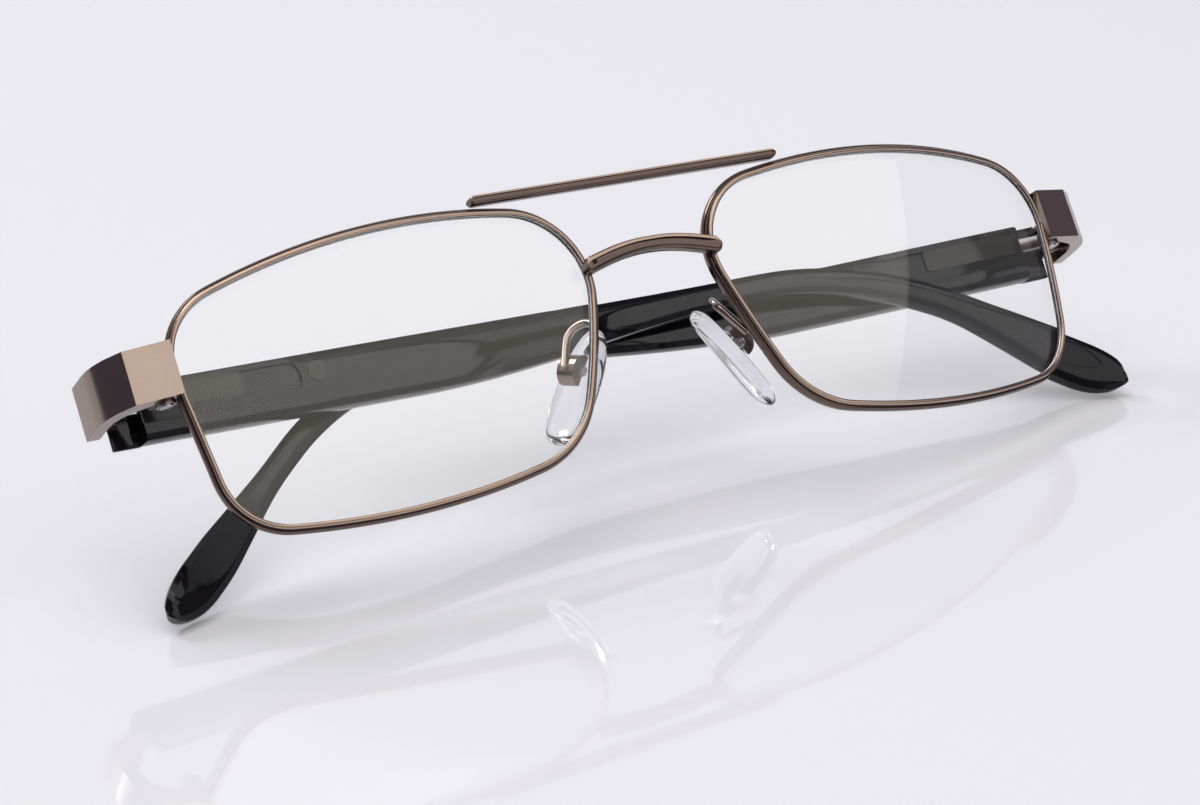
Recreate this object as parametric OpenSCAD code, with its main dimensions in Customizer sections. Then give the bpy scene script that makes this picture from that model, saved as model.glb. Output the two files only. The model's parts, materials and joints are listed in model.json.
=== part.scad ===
// Reading glasses with a full metal rim and a double bridge, temples folded, leaning back
// and resting on the ends of both temples as they lie on a table.
// Drawn first in the front's own frame: x to the viewer's right, y backwards, z up,
// with z = 0 at the middle of the lens height. The last step tips the whole part back.

/* [Lenses and rims] */
// width of the lens shape
lens_w = 51.5; // [48:0.5:55]
// gap between the two lens shapes
bridge_gap = 17.5; // [15:0.5:20]
// radius of the front curve of lenses and rims
front_radius = 106; // [90:1:140]
// how far each lens is turned backwards at its outer side
wrap_angle = 6.2; // [0:0.1:10]
// shift of each lens backwards
lens_setback = -0.41; // [-1:0.01:1]
// height of the front curve's middle above the lens's middle
curve_rise = 3.7; // [0:0.1:6]
// depth of the rim from its front face to its back
rim_depth = 1.8; // [1.6:0.1:3]
// depth of the narrow front face of the rim
face_depth = 0.5; // [0.4:0.1:1]
// how far the rim's front face reaches outside the lens shape
rim_out = 0.6; // [0.4:0.05:1]
// how far the rim's body reaches outside the lens shape
rim_body_out = 0.75; // [0.7:0.05:1.2]
// how far the rim reaches inside the lens shape
rim_in = 0.35; // [0.3:0.05:0.6]
// thickness of the lens in its middle
lens_thick = 2.4; // [2:0.1:4]
// radius of the lens's back curve
lens_back_radius = 140; // [110:1:200]

/* [Bridges and end pieces] */
// half length of the straight top bar
bar_half = 21.3; // [18:0.1:24]
// height of the top bar
bar_h = 1.15; // [0.8:0.05:2]
// depth of the top bar
bar_d = 1.6; // [1.2:0.1:2.2]
// height of the lower side of the top bar
bar_z = 16.75; // [15:0.05:18]
// height of the bridge at its ends
bridge_end_z = 5.9; // [5:0.1:7]
// rise of the bridge to its middle
bridge_rise = 1.9; // [1:0.1:3]
// height of the bridge's band
bridge_h = 1.7; // [1.2:0.05:2.5]
// lower side of the end piece
end_low = 2.2; // [1:0.1:4]
// upper side of the end piece
end_high = 8.5; // [7:0.1:10]
// wall of the end piece
end_wall = 1.4; // [1:0.1:2]

/* [Hinges] */
// distance of the hinge screw from the middle of the front
pin_x = 65.0; // [63:0.1:67]
// hinge screw behind the front
pin_y = 15.3; // [14:0.1:17]
// radius of the hinge screw
pin_r = 0.55; // [0.4:0.05:0.7]
// radius of the hinge eyes
eye_r = 1.2; // [1:0.05:1.6]
// middle height of the hinge
hinge_z = 4.4; // [4:0.1:5]
// height of the middle eye, which sits on the spring slide
tongue_h = 1.7; // [1.4:0.1:2]
// height of each of the two outer eyes
ear_h = 1.05; // [0.8:0.05:1.4]
// play between parts that turn or slide
play = 0.05; // [0.02:0.01:0.1]
// travel of the spring slide
flex_travel = 1.0; // [0.6:0.1:1.5]

/* [Temples] */
// inner face of the temple, measured from the hinge screw
slab_in = -0.75; // [-1:0.05:0]
// outer face of the temple, measured from the hinge screw
slab_out = 2.55; // [2:0.05:3]
// how much the temple is thinner from its middle on
slab_thin = 0.7; // [0:0.1:1.2]
// height of the temple at the hinge
temple_h = 6.7; // [5:0.1:8]
// height of the temple before its ear bend
temple_slim = 3; // [2.4:0.1:4]
// how much the temple widens again at its tip
tip_wider = 2.5; // [1:0.1:3]
// top edge of the temple
temple_top = 6.9; // [6:0.1:8]
// angle of the ear bend
ear_angle = 38.7; // [20:0.1:50]
// radius of the ear bend
ear_radius = 41.6; // [20:0.1:60]
// where the ear bend starts on the left temple
ear_start_left = 88; // [80:0.5:95]
// where the ear bend starts on the right temple
ear_start_right = 81.5; // [80:0.5:95]
// length of the left temple along its line
temple_len_left = 137.3; // [130:0.1:150]
// length of the right temple along its line
temple_len_right = 137.1; // [130:0.1:150]
// how far the left tip bends inwards
bow_left = 11.2; // [0:0.1:20]
// how far the right tip bends inwards
bow_right = 18.7; // [0:0.1:30]
// how late the left temple's bend grows, as a power
bow_power_left = 2.8; // [1.5:0.1:4]
// how late the right temple's bend grows, as a power
bow_power_right = 1.7; // [1.5:0.1:4]
// angle that the folded left temple stays open
fold_left = 0.5; // [0:0.1:5]
// angle that the folded right temple stays open, since it lies behind the left one
fold_right = 6.2; // [3:0.1:8]
// angle that the right temple drops, or rises where it is below zero
droop_right = -0.3; // [-2:0.1:3]

/* [Nose pads] */
// length of a nose pad
pad_len = 14.8; // [11:0.1:17]
// how far the pad's middle lies below its screw
pad_low = 1.1; // [0:0.1:2.5]
// width of a nose pad
pad_w = 6.6; // [5:0.1:8]
// thickness of a nose pad
pad_t = 2.4; // [1.8:0.1:3]
// radius of the pad arm's wire
arm_r = 0.5; // [0.4:0.05:0.7]

/* [How it stands] */
// how far the front leans back
stand_lean = 36.26; // [0:0.01:60]
// how far the front rolls to one side
stand_roll = 2.8; // [-5:0.01:5]
// height of the front's middle above the table
stand_lift = 23.157; // [15:0.01:30]
// sideways shift that centres the part
stand_x = 0.207; // [-10:0.01:10]
// depth shift that centres the part
stand_y = -7.582; // [-20:0.01:20]

/* [Hidden] */
$fn = 48;
metal = [0.60, 0.49, 0.42];
dark_metal = [0.38, 0.31, 0.33];
steel = [0.75, 0.75, 0.76];
gunmetal = [0.36, 0.35, 0.36];
black = [0.06, 0.06, 0.07];
clear = [0.85, 0.88, 0.92, 0.4];
lens_x = (bridge_gap + lens_w) / 2;
body_r = front_radius - face_depth;
back_r = front_radius - rim_depth;
groove_in = 0.65;
groove_out = 1.25;
tongue_low = hinge_z - tongue_h / 2;
tongue_high = hinge_z + tongue_h / 2;
ear_low = tongue_low - play - ear_h;
ear_high = tongue_high + play + ear_h;
lock_x = 60.95;
lock_y = 7.35;
lock_r = 1.25;
lock_low = 1.75;
lock_high = 7;
lock_gap = 0.2;
lock_screw_r = 0.5;
lock_mid = 4.4;
rod_o = 0.65;
rod_r = 0.5;
spring_r = 0.95;
house_in = slab_in + 0.2;
house_out = 1.85;
house_s = 4.2;
house_e = 24.5;
house_h = 4.4;
butt_s = 0.5;
thin_o = 1.6;
pad_bulge = 32;

// the lens shape's eight rounded corners: outwards, up and radius, for the rim's front face
corners = [[27.17, 11.86, 8.9], [1, 18.68, 93], [-29.04, 14.41, 9.9], [-24.43, -2.21, 81],
  [-19.32, -13.92, 12.4], [2.1, -18.14, 81], [23.71, -14.59, 8.9], [25.56, -1.78, 440]];
corner_n = len(corners);
function corner(i) = corners[(i + corner_n) % corner_n];
function flat(p) = [p[0], p[1]];
function unit(v) = v / norm(v);
function heading(i) = let (d = flat(corner(i + 1)) - flat(corner(i))) atan2(d[1], d[0]);
function turned(a) = a < 0 ? a + 360 : a;
function corner_mid(i) = let (
    c = flat(corner(i)),
    a = unit(flat(corner(i - 1)) - c),
    b = unit(flat(corner(i + 1)) - c),
    half = acos(a * b) / 2
  ) c + unit(a + b) * corner(i)[2] / sin(half);
function corner_turn(i) = turned(heading(i) - heading(i - 1));
function corner_steps(i) = ceil(corner_turn(i) / (2 * acos(1 - 0.02 / corner(i)[2])));
// outline of the lens shape, moved outwards by d
function outline(d) = [for (i = [0 : corner_n - 1]) for (k = [0 : corner_steps(i)])
  let (t = heading(i - 1) - 90 + corner_turn(i) * k / corner_steps(i),
    r = corner(i)[2] + d - rim_out)
  corner_mid(i) + r * [cos(t), sin(t)]];

// tips the front back and sets the part on the table
module stand() {
  translate([stand_x, stand_y, stand_lift])
    rotate([-stand_lean, stand_roll, 0])
      children();
}

// side = 1 is the viewer's right, side = -1 is the left, built as its mirror image
module on_side(side) {
  mirror([side < 0 ? 1 : 0, 0, 0]) children();
}

// the lens's own place: x outwards, y backwards, z up
module at_lens() {
  translate([lens_x, lens_setback, 0]) rotate([0, 0, wrap_angle]) children();
}

module lens_prism(d) {
  translate([0, 14, 0]) rotate([90, 0, 0]) linear_extrude(20) polygon(outline(d));
}

module front_ball(r) {
  translate([0, front_radius, curve_rise]) sphere(r = r, $fn = 360);
}

// everything that the rim fills, without its opening
module rim_block() {
  at_lens() {
    intersection() {
      lens_prism(rim_body_out);
      front_ball(body_r);
    }
    intersection() {
      lens_prism(rim_out);
      front_ball(front_radius);
    }
  }
}

module rim() {
  difference() {
    rim_block();
    at_lens() {
      front_ball(back_r);
      lens_prism(-rim_in);
      difference() {
        intersection() {
          lens_prism(play);
          front_ball(front_radius - groove_in);
        }
        front_ball(front_radius - groove_out);
      }
    }
    translate([lens_x + 22, -2, lock_mid - lock_gap / 2]) cube([8, 14, lock_gap]);
  }
}

module lens() {
  at_lens() {
    difference() {
      intersection() {
        lens_prism(-rim_in - play);
        front_ball(front_radius - 0.35);
      }
      translate([0, 0.35 + lens_thick + lens_back_radius, curve_rise])
        sphere(r = lens_back_radius, $fn = 360);
    }
    difference() {
      intersection() {
        lens_prism(play);
        front_ball(front_radius - groove_in);
      }
      front_ball(front_radius - groove_out);
      lens_prism(-rim_in - play - 0.3);
    }
  }
}

module both_rim_blocks() {
  rim_block();
  on_side(-1) rim_block();
}

module bar() {
  difference() {
    union() {
      translate([-bar_half + bar_h / 2, -0.5, bar_z])
        cube([2 * bar_half - bar_h, bar_d, bar_h]);
      for (side = [-1, 1]) {
        translate([side * (bar_half - bar_h / 2), -0.5, bar_z + bar_h / 2])
          rotate([-90, 0, 0]) cylinder(r = bar_h / 2, h = bar_d);
      }
    }
    both_rim_blocks();
  }
}

function bridge_low(x) = bridge_end_z + bridge_rise * cos(90 * x / 9.6);

module bridge_band() {
  low = [for (x = [-9 : 1 : 9]) [x, bridge_low(x)]];
  high = [for (x = [9 : -1 : -9]) [x, bridge_low(x) + bridge_h + 0.35 * abs(x) / 9]];
  difference() {
    union() {
      translate([0, 0.55, 0]) rotate([90, 0, 0]) linear_extrude(1.85)
        polygon(concat(low, high));
      for (side = [-1, 1]) {
        translate([side * 9, 0.55, bridge_low(9) + (bridge_h + 0.35) / 2])
          rotate([90, 0, 0]) cylinder(r = (bridge_h + 0.35) / 2, h = 1.85);
      }
    }
    // a long shallow groove follows the front of the band
    translate([0, -1.05, 0]) rotate([90, 0, 0]) linear_extrude(1)
      polygon(concat(
        [for (x = [-7 : 1 : 7]) [x, bridge_low(x) + 0.7]],
        [for (x = [7 : -1 : -7]) [x, bridge_low(x) + 1.1]]
      ));
    both_rim_blocks();
  }
}

// the end piece in plan: a plate before the rim, a corner and a side wall
module end_plan() {
  polygon(concat(
    [[59.6, 4.5], [66.2, 6.55]],
    [for (a = [-68 : 17 : 0]) [66.05 + 1.7 * cos(a), 8.3 + 1.7 * sin(a) - 0.05]],
    [[67.9, 12], [67.95, 15.2], [67.95 - end_wall - 0.2, 15.2], [66.35, 11.4]],
    [for (a = [0 : -20 : -60]) [65.25 + 1.05 * cos(a), 8.9 + 1.05 * sin(a)]],
    [[62.2, 6.85], [59.45, 5.95]]
  ));
}

module end_piece() {
  difference() {
    translate([0, 0, end_low]) linear_extrude(end_high - end_low) end_plan();
    rim_block();
    // room for the turning middle eye
    translate([pin_x, pin_y, tongue_low - play]) cylinder(r = eye_r + 0.12, h = tongue_h + 2 * play);
  }
}

module ear_plan() {
  polygon([[66.35, 11.6], [65.5, 11.9], [64.5, 13.2], [63.9, 14.8], [pin_x, pin_y], [66.35, 15.2]]);
}

module front_hinge() {
  difference() {
    union() {
      translate([0, 0, ear_low]) linear_extrude(ear_high - ear_low) ear_plan();
      translate([pin_x, pin_y, ear_low]) cylinder(r = eye_r, h = ear_high - ear_low);
    }
    end_piece();
    translate([pin_x, pin_y, tongue_low - play]) cylinder(r = eye_r + 0.12, h = tongue_h + 2 * play);
    translate([pin_x, pin_y, ear_low - 1]) cylinder(r = pin_r, h = 9);
    translate([pin_x, pin_y, ear_high - 0.45]) cylinder(r = 0.9, h = 2);
  }
}

module hinge_screw() {
  difference() {
    union() {
      translate([pin_x, pin_y, ear_low]) cylinder(r = pin_r, h = ear_high - ear_low - 0.3);
      translate([pin_x, pin_y, ear_high - 0.45]) cylinder(r = 0.9, h = 0.6);
    }
    translate([pin_x - 1, pin_y - 0.12, ear_high - 0.1]) cube([2, 0.24, 1]);
  }
}

module lock_block(low, high) {
  difference() {
    translate([lock_x, lock_y, low]) cylinder(r = lock_r, h = high - low);
    rim_block();
    end_piece();
    translate([lock_x, lock_y, low - 1]) cylinder(r = lock_screw_r, h = 8);
    translate([lock_x, lock_y, lock_low - 0.1]) cylinder(r = 0.85, h = 0.55);
  }
}

module rim_screw() {
  difference() {
    union() {
      translate([lock_x, lock_y, lock_low + 0.45]) cylinder(r = lock_screw_r, h = lock_high - lock_low - 0.45);
      translate([lock_x, lock_y, lock_low - 0.15]) cylinder(r = 0.85, h = 0.6);
    }
    rim_block();
    translate([lock_x - 1, lock_y - 0.12, lock_low - 1]) cube([2, 0.24, 1.05]);
  }
}

// the temple's own place: x along the temple from the hinge, y outwards, z up
module at_temple(side) {
  on_side(side)
    translate([pin_x, pin_y, 0])
      mirror([1, 0, 0])
        rotate([0, 0, side < 0 ? fold_left : fold_right])
          children();
}

function ear_start(side) = side < 0 ? ear_start_left : ear_start_right;
function temple_len(side) = side < 0 ? temple_len_left : temple_len_right;
function bow(side) = side < 0 ? bow_left : bow_right;
function ease(t) = 0.5 - 0.5 * cos(180 * min(max(t, 0), 1));
guide_z = temple_top - 1.5;
// the temple's guide line in side view, at length a along it
function guide(side, a) = let (
    s = ear_start(side),
    arc = ear_radius * ear_angle * PI / 180,
    t = min(max(a - s, 0), arc) / ear_radius * 180 / PI,
    rest = max(a - s - arc, 0)
  ) [min(a, s) + ear_radius * sin(t) + rest * cos(ear_angle),
    guide_z - ear_radius * (1 - cos(t)) - rest * sin(ear_angle)];
function guide_tilt(side, a) = min(max((a - ear_start(side)) / ear_radius * 180 / PI, 0), ear_angle);
function round_end(t) = sqrt(max(1 - t * t, 0));
tip_run = 12;
function above(side, a) = let (e = temple_len(side))
  (1.5 + 0.3 * tip_wider * ease((a - 112) / 16)) * round_end(max(a - e + 6.5, 0) / 6.5);
function below(side, a) = let (e = temple_len(side))
  (temple_slim - 1.5 + (temple_h - temple_slim) * (1 - ease((a - 40) / 48))
    + 0.7 * tip_wider * ease((a - 112) / 18))
  * round_end(max(a - e + 6, 0) / 6);
function temple_steps(side) = concat(
  [butt_s, 40], [for (a = [46 : 6 : 82]) a],
  [for (a = [86 : 4 : temple_len(side) - tip_run + 1]) a],
  [for (t = [10 : 10 : 90]) temple_len(side) - tip_run * (1 - sin(t))]);
function edge(side, a, h) = let (g = guide(side, a), t = guide_tilt(side, a)) g + h * [sin(t), cos(t)];

module temple_side(side) {
  steps = temple_steps(side);
  n = len(steps);
  polygon(concat(
    [for (i = [0 : n - 1]) edge(side, steps[i], above(side, steps[i]))],
    [for (i = [n - 2 : -1 : 0]) edge(side, steps[i], -below(side, steps[i]))]
  ));
}

function bow_power(side) = side < 0 ? bow_power_left : bow_power_right;
function bow_at(side, s) = bow(side) * pow(max(s - 60, 0) / 74, bow_power(side));
function thin_at(s) = slab_thin / 2 * ease((s - 30) / 35);
module temple_top_view(side) {
  last = guide(side, temple_len(side))[0] + 0.1;
  steps = concat([4, 30, 38, 46, 54, 60, 64, 68], [for (s = [72 : 5 : last - 3]) s]);
  n = len(steps);
  inner = [for (i = [0 : n - 1]) [steps[i], slab_in + thin_at(steps[i]) - bow_at(side, steps[i])]];
  outer = [for (i = [n - 1 : -1 : 0]) [steps[i], slab_out - thin_at(steps[i]) - bow_at(side, steps[i])]];
  tip_r = (slab_out - slab_in - slab_thin) / 2;
  tip = [last - tip_r, (slab_out + slab_in) / 2 - bow_at(side, last - tip_r)];
  polygon(concat(
    inner,
    [for (t = [-90 : 15 : 90]) tip + tip_r * [cos(t), sin(t)]],
    outer,
    [for (t = [90 : 15 : 180]) [butt_s + 0.8, slab_out - 0.8] + 0.8 * [cos(t), sin(t)]],
    [[butt_s, thin_o], [4, thin_o]]
  ));
}

module drop(side) {
  rotate([0, side < 0 ? 0 : droop_right, 0]) children();
}

module house_plan(extra) {
  r = house_h / 2 + extra;
  translate([house_s, hinge_z - r]) square([house_e - house_s - house_h / 2, 2 * r]);
  translate([house_e - house_h / 2, hinge_z]) circle(r = r);
}

module temple(side) {
  difference() {
    drop(side) intersection() {
      translate([0, 6, 0]) rotate([90, 0, 0]) linear_extrude(30) temple_side(side);
      translate([0, 0, -30]) linear_extrude(45) temple_top_view(side);
    }
    translate([0, house_out, 0]) rotate([90, 0, 0]) linear_extrude(6) house_plan(0);
    translate([0, house_out, hinge_z - house_h / 2]) rotate([90, 0, 0])
      translate([3.9, 0, 0]) linear_extrude(6) square([house_s - 3.8, house_h]);
  }
}

module housing() {
  difference() {
    translate([0, house_out, 0]) rotate([90, 0, 0]) linear_extrude(house_out - house_in)
      house_plan(0);
    translate([house_s - 1, rod_o - 0.85 - play, hinge_z - tongue_h / 2 - play])
      cube([6, 1.7 + 2 * play, tongue_h + 2 * play]);
    translate([house_s, rod_o, hinge_z]) rotate([0, 90, 0]) cylinder(r = rod_r + play, h = 8);
    translate([11, rod_o, hinge_z]) rotate([0, 90, 0]) cylinder(r = spring_r + play, h = 12.2);
  }
}

module spring_slide() {
  difference() {
    union() {
      translate([0, 0, tongue_low]) cylinder(r = eye_r, h = tongue_h);
      translate([0.35, rod_o - 0.85, tongue_low]) cube([8.85, 1.7, tongue_h]);
      translate([9, rod_o, hinge_z]) rotate([0, 90, 0]) cylinder(r = rod_r, h = 12.4);
    }
    translate([0, 0, tongue_low - 1]) cylinder(r = pin_r + play, h = 4);
  }
}

module slide_nut() {
  difference() {
    translate([18.9 + flex_travel, rod_o, hinge_z]) rotate([0, 90, 0]) cylinder(r = 0.9, h = 1.3);
    translate([18, rod_o, hinge_z]) rotate([0, 90, 0]) cylinder(r = rod_r, h = 5);
  }
}

module hinge_spring() {
  difference() {
    translate([11, rod_o, hinge_z]) rotate([0, 90, 0]) cylinder(r = spring_r, h = 7.8);
    translate([10, rod_o, hinge_z]) rotate([0, 90, 0]) cylinder(r = rod_r + play, h = 12);
  }
}

// the nose pad's own place: x forwards and up across its screw, y along its screw,
// z along the pad towards its top
pad_mid = [10.2, 6.8, -3.9];
pad_down = unit([7.1, 2.2, -10.4]);
pad_back = unit([0.5, 0.866, 0] - (pad_down * [0.5, 0.866, 0]) * pad_down);
pad_face = cross(pad_back, pad_down);
module at_pad() {
  z = -pad_down;
  y = pad_back;
  x = cross(y, z);
  multmatrix([
    [x[0], y[0], z[0], pad_mid[0]],
    [x[1], y[1], z[1], pad_mid[1]],
    [x[2], y[2], z[2], pad_mid[2]]
  ]) children();
}

module nose_pad() {
  wide = pad_w / 2;
  long = pad_len / 2;
  difference() {
    union() {
      intersection() {
        translate([-pad_t, 0, 0]) rotate([0, 90, 0]) linear_extrude(2 * pad_t)
          polygon([for (t = [0 : 15 : 345])
            [-long * sin(t) + pad_low, wide * cos(t) * (1 - 0.12 * sin(t))]]);
        translate([pad_bulge - pad_t / 2, 0, -pad_low]) sphere(r = pad_bulge, $fn = 240);
        translate([pad_t / 2 - pad_bulge, 0, -pad_low]) sphere(r = pad_bulge, $fn = 240);
      }
      translate([0.4, 0, 0]) translate([0, -0.7, -0.9]) cube([1.9, 1.4, 1.8]);
    }
    translate([1.7, -3, 0]) rotate([-90, 0, 0]) cylinder(r = 0.3 + play, h = 6);
  }
}

module pad_box() {
  difference() {
    union() {
      for (low = [-1.2, 0.75]) {
        translate([1.7, low, 0]) rotate([-90, 0, 0]) cylinder(r = 1.35, h = 0.45);
      }
      translate([2.45, -1.2, -0.9]) cube([0.6, 2.4, 1.8]);
    }
    translate([1.7, -3, 0]) rotate([-90, 0, 0]) cylinder(r = 0.3, h = 6);
    // clearance to the pad's back
    translate([pad_t / 2 - pad_bulge, 0, -pad_low]) sphere(r = pad_bulge + 0.25, $fn = 240);
  }
}

module pad_screw() {
  translate([1.7, -1.2, 0]) rotate([-90, 0, 0]) cylinder(r = 0.3, h = 2.4);
  difference() {
    translate([1.7, -1.5, 0]) rotate([-90, 0, 0]) cylinder(r = 0.62, h = 0.3);
    translate([1.6, -1.6, -1]) cube([0.2, 0.22, 2]);
    translate([0.7, -1.6, -0.1]) cube([2, 0.22, 0.2]);
  }
}

// the arm's wire: a leg up from the rim's back, a round bend and a leg down to the box
arm_start = [10.7, 1.9, -3.4];
arm_end = pad_mid - 3.45 * pad_face + 0.5 * pad_down;
arm_up = unit([-2.6, 1.25, 4.8]);
arm_across = (arm_end - arm_start) - ((arm_end - arm_start) * arm_up) * arm_up;
arm_bend = norm(arm_across) / 2;
arm_e = arm_across / norm(arm_across);
arm_f = cross(arm_e, arm_up);
arm_step = (arm_end - arm_start) * arm_up;
arm_leg = 3.7;

module pad_arm() {
  multmatrix([
    [arm_e[0], arm_up[0], arm_f[0], arm_start[0]],
    [arm_e[1], arm_up[1], arm_f[1], arm_start[1]],
    [arm_e[2], arm_up[2], arm_f[2], arm_start[2]]
  ]) {
    // the legs are a hair thicker than the bend and reach a little over its ends
    rotate([-90, 0, 0]) cylinder(r = arm_r, h = arm_leg + 0.1);
    translate([arm_bend, arm_leg, 0]) rotate_extrude(angle = 180)
      translate([arm_bend, 0]) circle(r = arm_r - 0.03);
    translate([2 * arm_bend, arm_step, 0]) rotate([-90, 0, 0])
      cylinder(r = arm_r, h = arm_leg + 0.1 - arm_step);
  }
}

module rim_right() color(metal) stand() on_side(1) rim();
module rim_left() color(metal) stand() on_side(-1) rim();
module lens_right() color(clear) stand() on_side(1) lens();
module lens_left() color(clear) stand() on_side(-1) lens();
module top_bar() color(metal) stand() bar();
module bridge() color(metal) stand() bridge_band();
module end_piece_right() color(metal) stand() on_side(1) end_piece();
module end_piece_left() color(metal) stand() on_side(-1) end_piece();
module front_hinge_right() color(dark_metal) stand() on_side(1) front_hinge();
module front_hinge_left() color(dark_metal) stand() on_side(-1) front_hinge();
module lock_upper_right() color(dark_metal) stand() on_side(1) lock_block(lock_mid + lock_gap / 2, lock_high);
module lock_upper_left() color(dark_metal) stand() on_side(-1) lock_block(lock_mid + lock_gap / 2, lock_high);
module lock_lower_right() color(dark_metal) stand() on_side(1) lock_block(lock_low, lock_mid - lock_gap / 2);
module lock_lower_left() color(dark_metal) stand() on_side(-1) lock_block(lock_low, lock_mid - lock_gap / 2);
module rim_screw_right() color(steel) stand() on_side(1) rim_screw();
module rim_screw_left() color(steel) stand() on_side(-1) rim_screw();
module hinge_screw_right() color(steel) stand() on_side(1) hinge_screw();
module hinge_screw_left() color(steel) stand() on_side(-1) hinge_screw();
module spring_slide_right() color(steel) stand() at_temple(1) spring_slide();
module spring_slide_left() color(steel) stand() at_temple(-1) spring_slide();
module slide_nut_right() color(steel) stand() at_temple(1) slide_nut();
module slide_nut_left() color(steel) stand() at_temple(-1) slide_nut();
module hinge_spring_right() color(steel) stand() at_temple(1) hinge_spring();
module hinge_spring_left() color(steel) stand() at_temple(-1) hinge_spring();
module spring_housing_right() color(black) stand() at_temple(1) housing();
module spring_housing_left() color(black) stand() at_temple(-1) housing();
module temple_right() color(black) stand() at_temple(1) temple(1);
module temple_left() color(black) stand() at_temple(-1) temple(-1);
module pad_arm_right() color(metal) stand() on_side(1) pad_arm();
module pad_arm_left() color(metal) stand() on_side(-1) pad_arm();
module pad_box_right() color(gunmetal) stand() on_side(1) at_pad() pad_box();
module pad_box_left() color(gunmetal) stand() on_side(-1) at_pad() pad_box();
module pad_screw_right() color(steel) stand() on_side(1) at_pad() pad_screw();
module pad_screw_left() color(steel) stand() on_side(-1) at_pad() pad_screw();
module nose_pad_right() color(clear) stand() on_side(1) at_pad() nose_pad();
module nose_pad_left() color(clear) stand() on_side(-1) at_pad() nose_pad();

rim_right();
rim_left();
lens_right();
lens_left();
top_bar();
bridge();
end_piece_right();
end_piece_left();
front_hinge_right();
front_hinge_left();
lock_upper_right();
lock_upper_left();
lock_lower_right();
lock_lower_left();
rim_screw_right();
rim_screw_left();
hinge_screw_right();
hinge_screw_left();
spring_slide_right();
spring_slide_left();
slide_nut_right();
slide_nut_left();
hinge_spring_right();
hinge_spring_left();
spring_housing_right();
spring_housing_left();
temple_right();
temple_left();
pad_arm_right();
pad_arm_left();
pad_box_right();
pad_box_left();
pad_screw_right();
pad_screw_left();
nose_pad_right();
nose_pad_left();
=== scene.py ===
import json
import math

import bmesh
import bpy
from mathutils import Matrix, Vector


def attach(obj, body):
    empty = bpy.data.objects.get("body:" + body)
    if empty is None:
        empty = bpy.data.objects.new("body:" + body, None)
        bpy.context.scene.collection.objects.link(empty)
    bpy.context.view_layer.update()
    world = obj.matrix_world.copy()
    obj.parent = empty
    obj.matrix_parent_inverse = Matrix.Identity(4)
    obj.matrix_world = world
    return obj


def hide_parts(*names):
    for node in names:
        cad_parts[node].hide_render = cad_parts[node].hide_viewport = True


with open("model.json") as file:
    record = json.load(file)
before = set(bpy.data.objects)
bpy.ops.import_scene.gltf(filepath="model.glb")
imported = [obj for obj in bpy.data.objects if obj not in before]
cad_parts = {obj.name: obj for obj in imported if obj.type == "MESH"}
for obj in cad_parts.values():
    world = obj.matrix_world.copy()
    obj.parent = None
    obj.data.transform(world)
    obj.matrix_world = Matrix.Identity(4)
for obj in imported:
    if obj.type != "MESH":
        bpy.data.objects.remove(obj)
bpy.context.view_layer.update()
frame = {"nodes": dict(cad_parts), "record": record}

# Measures

# All lengths of the glasses are in millimetres in the front's own frame: x to the
# viewer's right, y backwards, z up from the middle of the lens height.
MM = 0.001
# lean back and roll of the front in degrees, and where its middle stands
LEAN, ROLL = 36.26, 2.8
STAND = Vector((0.207, -7.582, 23.157))
# the front curve: its radius and the height of its middle
FRONT_R, RISE = 106.0, 3.7
# each lens: its turn about the upright in degrees, its setback and its distance from
# the nose's middle
WRAP, SETBACK, LENS_X = 6.2, -0.41, 34.5
LENS_THICK, LENS_BACK_R = 2.4, 140.0
# how far the rim's middle line runs inside the corner outline, and from there how far
# the rim reaches inwards
RIM_OUT, RIM_IN = 0.6, 0.35
# the corner outline of the right lens: x, z and radius
CORNERS = [(27.17, 11.86, 8.9), (1, 18.68, 93), (-29.04, 14.41, 9.9), (-24.43, -2.21, 81),
           (-19.32, -13.92, 12.4), (2.1, -18.14, 81), (23.71, -14.59, 8.9), (25.56, -1.78, 440)]
# the fold's axis
PIN = Vector((65.0, 15.3, 0))
# the temple seen from above: inner and outer face, how much thinner it gets, and the
# inner face of its thin end at the hinge
SLAB_IN, SLAB_OUT, SLAB_THIN, THIN_O = -0.75, 2.55, 0.7, 1.6
# the temple's line: radius and turn of the bend over the ear, and its height
EAR_R, EAR_ANGLE, GUIDE_Z = 41.6, math.radians(38.7), 5.4
# the temple's height at the hinge and before the bend, and how much wider its tip is
TEMPLE_H, SLIM, TIP_WIDER = 6.7, 3.0, 2.5
# each temple: where its bend starts, its length along the line, the size and power of its
# sideways bow, and the degrees that it is folded and lowered
TEMPLES = {
    1: dict(start=81.5, length=137.1, bow=18.7, power=1.7, fold=6.2, droop=-0.3),
    -1: dict(start=88.0, length=137.3, bow=11.2, power=2.8, fold=0.5, droop=0.0),
}
SIDES = {1: "right", -1: "left"}


def rot(axis, degrees):
    return Matrix.Rotation(math.radians(degrees), 4, axis)


STANDING = Matrix.Scale(MM, 4) @ Matrix.Translation(STAND) @ rot("Y", ROLL) @ rot("X", -LEAN)


def mirrored(side):
    return Matrix.Diagonal((side, 1, 1, 1))


def lens_place(side):
    return STANDING @ mirrored(side) @ Matrix.Translation((LENS_X, SETBACK, 0)) @ rot("Z", WRAP)


def temple_place(side):
    turned = rot("Z", TEMPLES[side]["fold"])
    return (STANDING @ mirrored(side) @ Matrix.Translation(PIN)
            @ Matrix.Diagonal((-1, 1, 1, 1)) @ turned)


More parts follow.
